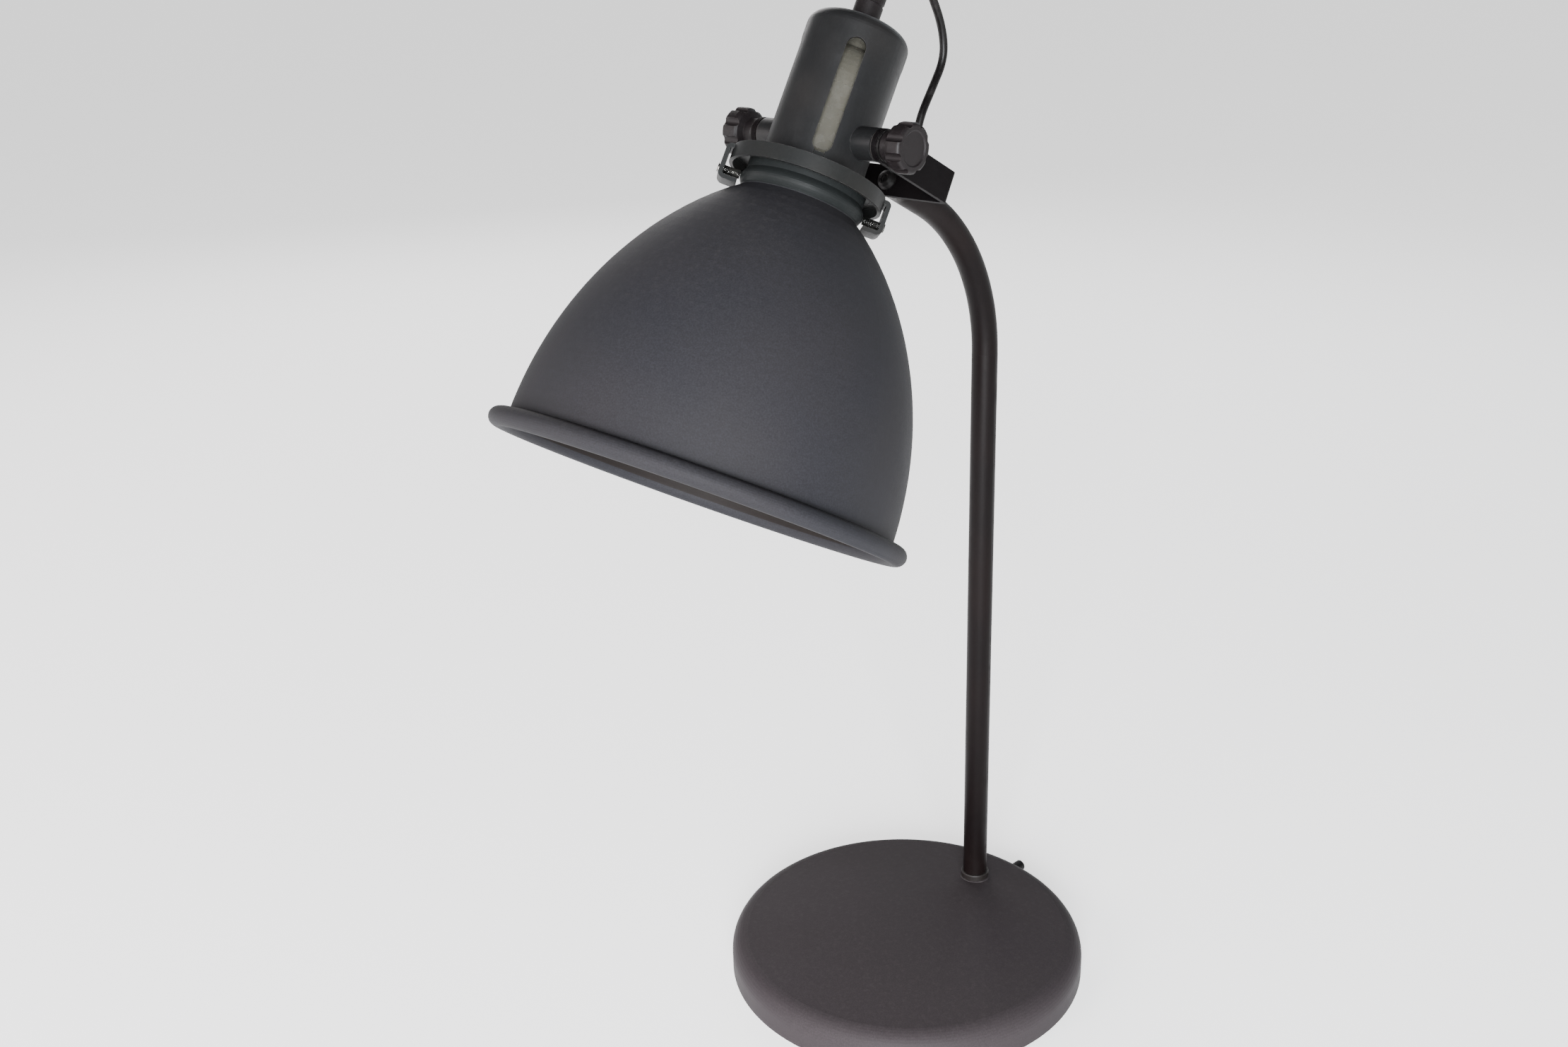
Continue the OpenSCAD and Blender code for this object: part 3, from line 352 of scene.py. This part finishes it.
def satin_coat(name, colour, roughness, wear, line=0.0, spot=None, level=0.32):
    """Satin wet coat: slow drifts, faint lines from drawing the metal along the dome's axis, rubbed edges,
    and finger marks that show only in the gloss. With a spot, a pale patch round a given point that is
    partly painted highlight and partly paint rubbed off."""
    f = Finish(name, Specular_IOR_Level=level)
    head = f.in_head()
    drift = f.noise(0.045, 3.0)
    warm = tuple(c * s for c, s in zip(colour, (1.45, 1.3, 1.2)))
    coat = f.mix(f.span(drift, 0.35, 0.7), colour, warm)
    fine = f.noise(0.0009, 2.0, 0.6)
    coat = f.mix(f.span(fine, 0.45, 0.8, 0.0, 0.25), coat, tuple(c * 2.2 + 0.001 for c in colour))
    rubbed = f.sum("MULTIPLY", f.edge(0.0005), f.span(f.noise(0.003, 3.0, 0.7), 0.40, 0.6))
    coat = f.mix(f.sum("MULTIPLY", rubbed, wear), coat, (0.12, 0.117, 0.11))
    marks = f.span(f.noise(0.014, 4.0, 0.65), 0.5, 0.75, 0.0, 0.12)
    gloss = f.sum("ADD", f.span(drift, 0.3, 0.7, roughness - 0.03, roughness + 0.04), marks)
    relief = f.bump(f.noise(0.0016, 2.0), 0.00002)
    if line:
        drawn = f.add("ShaderNodeMapping", Vector=head, Scale=(1.0, 1.0, 0.02)).outputs[0]
        relief = f.bump(f.noise(0.0011, 3.0, 0.6, drawn), line, relief)
    # Spot: a pale patch round a point, fading between two distances and broken by noise: partly painted
    # highlight, partly paint rubbed off.
    if spot:
        near = f.vector("LENGTH", f.vector("SUBTRACT", f.place, spot[0]))
        worn = f.sum("MULTIPLY", f.span(near, spot[2], spot[1]),
                     f.span(f.noise(0.0025, 4.0, 0.75), 0.36, 0.6))
        coat = f.mix(f.sum("MULTIPLY", worn, spot[3]), coat, (0.13, 0.125, 0.12))
    return f.set(Base_Color=coat, Roughness=gloss, Normal=relief).material


def moulded_black(name="knob_plastic"):
    """Fine moulded black: sparked texture in height, greyer where fingers have worn the lobes."""
    f = Finish(name, Specular_IOR_Level=0.17)
    drift = f.noise(0.006, 3.0)
    spark = f.noise(0.0004, 3.0, 0.65)
    worn = f.sum("MULTIPLY", f.edge(0.0008, 0.02, 0.2), f.span(drift, 0.4, 0.65))
    black = f.mix(f.span(spark, 0.35, 0.75), (0.0032, 0.0024, 0.0026), (0.0078, 0.0060, 0.0064))
    black = f.mix(f.sum("MULTIPLY", worn, 0.35), black, (0.045, 0.040, 0.039))
    gloss = f.sum("SUBTRACT", f.span(spark, 0.3, 0.7, 0.44, 0.58), f.sum("MULTIPLY", worn, 0.12))
    return f.set(Base_Color=black, Roughness=gloss,
                 Normal=f.bump(spark, 0.00003, f.bump(drift, 0.00003))).material


def cream_plastic():
    """Cream thermoset, darkened far below its pale colour as painted shade inside the cap: cloudy and satin,
    with flow marks.
    """
    f = Finish("cream_plastic", Specular_IOR_Level=0.5, Subsurface_Weight=0.04,
               Subsurface_Radius=(0.002, 0.0015, 0.001), Subsurface_Scale=1.0)
    cloud = f.noise(0.012, 4.0, 0.6)
    # Dark cream tones: painted shade of the holder deep inside the cap's slots.
    shaded_cream = f.mix(f.span(cloud, 0.35, 0.68), (0.050, 0.048, 0.039), (0.044, 0.042, 0.034))
    worn = f.edge(0.0005)
    shaded_cream = f.mix(f.sum("MULTIPLY", worn, 0.3), shaded_cream, (0.09, 0.088, 0.076))
    gloss = f.span(f.noise(0.004, 3.0), 0.3, 0.7, 0.22, 0.31)
    return f.set(Base_Color=shaded_cream, Roughness=gloss,
                 Normal=f.bump(f.noise(0.0015, 2.0), 0.00002)).material


def pressed_fibre():
    """Pressed fibre, made near-black as painted shade of the gap between knob and boss: flecked in flat
    layers.
    """
    f = Finish("fibre", Specular_IOR_Level=0.3)
    layer = f.add("ShaderNodeMapping", Vector=f.place, Scale=(6.0, 1.0, 1.0)).outputs[0]
    fleck = f.noise(0.0016, 5.0, 0.7, layer)
    # Near-black flecks: painted shade between the knob and the boss.
    black = f.mix(f.span(fleck, 0.35, 0.68), (0.007, 0.006, 0.0055), (0.017, 0.0145, 0.013))
    return f.set(Base_Color=black, Roughness=f.span(fleck, 0.3, 0.7, 0.6, 0.85),
                 Normal=f.bump(fleck, 0.00005)).material


def cord_sheath(name, along=False):
    """Black cord sheath: satin and scuffed. Along a piece with its own UV map run two faint
    mould lines and the twist of the wires inside."""
    f = Finish(name, Specular_IOR_Level=0.15)
    scuff = f.noise(0.005, 4.0, 0.7)
    fine = f.noise(0.0007, 2.0)
    black = f.mix(f.span(scuff, 0.45, 0.75), (0.0025, 0.0021, 0.0021), (0.0070, 0.0060, 0.0058))
    gloss = f.span(scuff, 0.35, 0.7, 0.34, 0.52)
    relief = f.bump(fine, 0.00002)
    if along:
        where = f.add("ShaderNodeUVMap", {"uv_map": "UVMap"}).outputs[0]
        u, v, _ = f.split(where)
        seam = f.sum("ABSOLUTE", f.sum("SUBTRACT", f.sum("FRACT", f.sum("MULTIPLY", u, 2.0)), 0.5))
        turns = f.sum("ADD", u, f.sum("MULTIPLY", v, 30.0))
        twist = f.sum("SINE", f.sum("MULTIPLY", turns, 12.566))
        relief = f.bump(f.span(seam, 0.0, 0.04, 1.0, 0.0), 0.00006, relief)
        relief = f.bump(twist, 0.00005, relief)
    return f.set(Base_Color=black, Roughness=gloss, Normal=relief).material


def foam_pad():
    """Dense foam pad: closed cells and grey dust."""
    f = Finish("pad_rubber", Specular_IOR_Level=0.3)
    cell = f.cells(0.0011)
    dust = f.span(f.noise(0.008, 4.0, 0.7), 0.45, 0.75)
    dark = f.mix(f.sum("MULTIPLY", dust, 0.4), (0.018, 0.018, 0.018), (0.075, 0.070, 0.065))
    return f.set(Base_Color=dark, Roughness=f.span(cell, 0.1, 0.6, 0.8, 0.95),
                 Normal=f.bump(cell, 0.00025)).material


def as_cast():
    """Cast iron as cast: sandy skin, darker pits and a little rust."""
    f = Finish("cast_iron", Metallic=0.6)
    sand = f.noise(0.0013, 4.0, 0.7)
    pit = f.span(f.cells(0.006), 0.0, 0.25, 1.0, 0.0)
    iron = f.mix(f.span(sand, 0.35, 0.7), (0.075, 0.070, 0.066), (0.15, 0.145, 0.14))
    rust = f.sum("MULTIPLY", f.span(f.noise(0.02, 4.0, 0.7), 0.55, 0.72), 0.6)
    iron = f.mix(rust, iron, (0.16, 0.075, 0.035))
    relief = f.bump(f.sum("SUBTRACT", sand, f.sum("MULTIPLY", pit, 0.6)), 0.0003)
    return f.set(Base_Color=iron, Roughness=f.span(sand, 0.3, 0.7, 0.55, 0.8),
                 Normal=relief).material


def bare_metal(name, colour, tint, roughness, pitch=0.0):
    """Plated or plain metal: fine grain, drifts of tint, dull spots, and brighter edges. With a
    pitch, a screw thread's crests run across the line x + y of the head."""
    f = Finish(name, Metallic=1.0)
    drift = f.noise(0.006, 4.0, 0.65)
    spot = f.span(f.noise(0.0018, 4.0, 0.7), 0.55, 0.75)
    metal = f.mix(f.span(drift, 0.35, 0.7), colour, tint)
    metal = f.mix(f.sum("MULTIPLY", spot, 0.45), metal, tuple(c * 0.55 for c in colour))
    metal = f.mix(f.sum("MULTIPLY", f.edge(0.0003), 0.5), metal,
                  tuple(min(1.0, c * 1.25) for c in colour))
    gloss = f.sum("ADD", f.span(drift, 0.3, 0.7, roughness - 0.06, roughness + 0.07),
                  f.sum("MULTIPLY", spot, 0.2))
    relief = f.bump(f.noise(0.0008, 3.0, 0.6), 0.00001)
    if pitch:
        head = f.in_head()
        along = f.vector("DOT_PRODUCT", head, (0.7071, 0.7071, 0.0))
        crest = f.sum("PINGPONG", along, pitch / 2)
        relief = f.bump(crest, 0.9, relief)
    return f.set(Base_Color=metal, Roughness=gloss, Normal=relief).material


def opal_glass():
    """Opal bulb glass: white coat seen through a glossy skin, a little uneven and dusty."""
    f = Finish("bulb_glass", IOR=1.5, Transmission_Weight=0.12, Coat_Weight=0.6,
               Coat_Roughness=0.06, Subsurface_Weight=0.15,
               Subsurface_Radius=(0.004, 0.004, 0.004), Subsurface_Scale=1.0)
    cloud = f.noise(0.016, 4.0, 0.6)
    white = f.mix(f.span(cloud, 0.35, 0.7), (0.90, 0.90, 0.875), (0.82, 0.815, 0.78))
    dust = f.sum("MULTIPLY", f.span(f.noise(0.003, 4.0, 0.75), 0.5, 0.8), 0.25)
    white = f.mix(dust, white, (0.6, 0.58, 0.54))
    return f.set(Base_Color=white, Roughness=f.span(cloud, 0.3, 0.7, 0.16, 0.28),
                 Normal=f.bump(f.noise(0.012, 2.0), 0.00005)).material


LUG_SCREW_PITCH = 0.0007
web = PIVOT + WEB_FROM_PIVOT * np.array([0.0, np.cos(FORK_SLOPE), -np.sin(FORK_SLOPE)])
zinc = bare_metal("zinc_steel", (0.62, 0.62, 0.60), (0.55, 0.54, 0.49), 0.30)
# Near-black steel for the knob washers and the fork's screw: painted shade where the knobs and the fork's
# web lie in shadow.
black_steel = satin_coat("black_steel", (0.0035, 0.0032, 0.0032), 0.44, 0.3, level=0.15)
brass = bare_metal("brass", (0.72, 0.53, 0.22), (0.58, 0.40, 0.16), 0.28)
knob_black = moulded_black()
shaded_cream = cream_plastic()
cap_coat = satin_coat("cap_coat", (0.0055, 0.0057, 0.0060), 0.42, 0.25, 0.00004, level=0.18)
ring_coat = satin_coat("ring_coat", (0.0060, 0.0065, 0.0065), 0.46, 0.2, level=0.12)
sheath = cord_sheath("cord_sheath", True)
hidden_cord = cord_sheath("cord_rubber")

# Each node's finish. The free cord's solid isn't shown, but keeps the finish of its piece.
FINISHES = {
    "base_cover": foot_coat(),
    "base_weight": as_cast(),
    "weight_nuts": zinc,
    "base_plate": bare_metal("plate_steel", (0.56, 0.56, 0.55), (0.50, 0.48, 0.43), 0.38),
    "base_pad": foam_pad(),
    "plate_screws": zinc,
    "cord_gland": moulded_black("gland_rubber"),
    "terminal_block": shaded_cream,
    "terminal_screws": brass,
    # The stem's pale patch where it meets the fork's web is partly painted highlight, partly paint rubbed
    # off.
    "stem_tube": satin_coat("stem_coat", (0.0024, 0.0015, 0.0016), 0.42, 0.3,
                            spot=(tuple(web), 0.006, 0.0125, 0.8), level=0.08),
    "stem_collar": satin_coat("collar_coat", (0.006, 0.0054, 0.0055), 0.42, 0.4, level=0.2),
    "stem_stud": zinc, "stem_washer": zinc, "stem_nut": zinc, "stem_plug": zinc,
    "stem_grommet": moulded_black("grommet_rubber"),
    "inner_cord": hidden_cord,
    "fork": satin_coat("fork_coat", (0.0021, 0.0017, 0.0019), 0.60, 0.1, level=0.04),
    "fork_screw": black_steel,
    "shade": shade_coat(),
    "gallery_ring": ring_coat,
    "gallery_screws": bare_metal("screw_steel", (0.66, 0.66, 0.64), (0.58, 0.57, 0.52), 0.26,
                                 LUG_SCREW_PITCH),
    "holder_cap": cap_coat,
    "pivot_boss_left": cap_coat, "pivot_boss_right": cap_coat,
    # The washers at the knobs and the fork's screw are near-black as painted shade.
    "fibre_washers": pressed_fibre(),
    "knob_washers": black_steel,
    "knob_left": knob_black, "knob_right": knob_black,
    "stud_left": zinc, "stud_right": zinc,
    "cord_grip": moulded_black("grip_plastic"),
    "grip_nut": zinc,
    "holder_skirt": shaded_cream, "holder_dome": shaded_cream, "holder_core": shaded_cream,
    "thread_shell": brass, "centre_contact": brass, "holder_screws": zinc,
    "bulb_glass": opal_glass(),
    "bulb_cap": bare_metal("bulb_cap_metal", (0.74, 0.74, 0.73), (0.66, 0.65, 0.62), 0.26),
    "head_cord": sheath,
}
for node, finish in FINISHES.items():
    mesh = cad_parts[node].data
    mesh.materials.clear()
    mesh.materials.append(finish)
head_loop.data.materials.append(sheath)

# ---------------------------------------------------------------- floor and light


FLOOR_HALF, FLOOR_GLOW = 30.0, 1.25
HORIZON_GLOW, OVERHEAD_GLOW, OVERHEAD_FROM = 1.1, 0.09, 0.4


def pale_floor():
    """Plain pale floor, a wide square under the foot, lit a little from below as a table for
    product pictures is."""
    f = Finish("floor_paint", Specular_IOR_Level=0.2, Emission_Color=(1.0, 1.0, 1.0),
               Emission_Strength=FLOOR_GLOW)
    f.set(Base_Color=f.mix(f.noise(0.6, 2.0), (0.90, 0.90, 0.90), (0.92, 0.92, 0.92)),
          Roughness=0.9)
    side = np.array([-FLOOR_HALF, FLOOR_HALF])
    points = np.stack(np.meshgrid(side, side, [0.0]), -1)[:, :, 0]
    floor = grid_mesh("floor", points)
    floor.data.materials.append(f.material)


def studio_walls():
    """Plain surroundings: as pale as the floor at the horizon, and darker overhead, from where
    a direction's height over its length is OVERHEAD_FROM."""
    world = bpy.data.worlds.new("studio")
    world.use_nodes = True
    tree = world.node_tree
    ahead = tree.nodes.new("ShaderNodeTexCoord").outputs["Generated"]
    height = tree.nodes.new("ShaderNodeSeparateXYZ")
    tree.links.new(ahead, height.inputs[0])
    fade = tree.nodes.new("ShaderNodeMapRange")
    fade.interpolation_type = "SMOOTHSTEP"
    for name, value in (("From Min", 0.0), ("From Max", OVERHEAD_FROM),
                        ("To Min", HORIZON_GLOW), ("To Max", OVERHEAD_GLOW)):
        fade.inputs[name].default_value = value
    tree.links.new(height.outputs["Z"], fade.inputs["Value"])
    tree.links.new(fade.outputs[0], tree.nodes["Background"].inputs["Strength"])
    tree.nodes["Background"].inputs["Color"].default_value = (1.0, 1.0, 1.0, 1.0)
    bpy.context.scene.world = world


def soft_light(name, place, size, watts, colour, aim=(0.0, -0.03, 0.28)):
    """Square soft light of a given size at a place, turned to face what it is aimed at."""
    lamp = bpy.data.lights.new(name, "AREA")
    lamp.shape, lamp.size, lamp.energy, lamp.color = "SQUARE", size, watts, colour
    light = bpy.data.objects.new(name, lamp)
    light.location = place
    light.rotation_mode = "QUATERNION"
    light.rotation_quaternion = (Vector(aim) - Vector(place)).to_track_quat("-Z", "Y")
    bpy.context.scene.collection.objects.link(light)


# Name, place in metres, side in metres, watts and colour of each light
LIGHTS = [
    ("front", (1.45, -1.78, 0.70), 1.05, 212.0, (0.95, 0.97, 1.0)),
    ("front_left", (-0.22, -2.15, 0.85), 1.1, 44.0, (1.0, 0.94, 0.94)),
    ("left", (-1.66, -1.36, 0.85), 1.1, 20.0, (1.0, 0.92, 0.92)),
    ("back_left", (-1.70, 1.05, 1.30), 1.2, 18.0, (1.0, 0.98, 0.98)),
    ("back_right", (-0.25, 1.54, 1.37), 1.2, 8.0, (0.9, 0.95, 1.0)),
]

pale_floor()
studio_walls()
for light_row in LIGHTS:
    soft_light(*light_row)
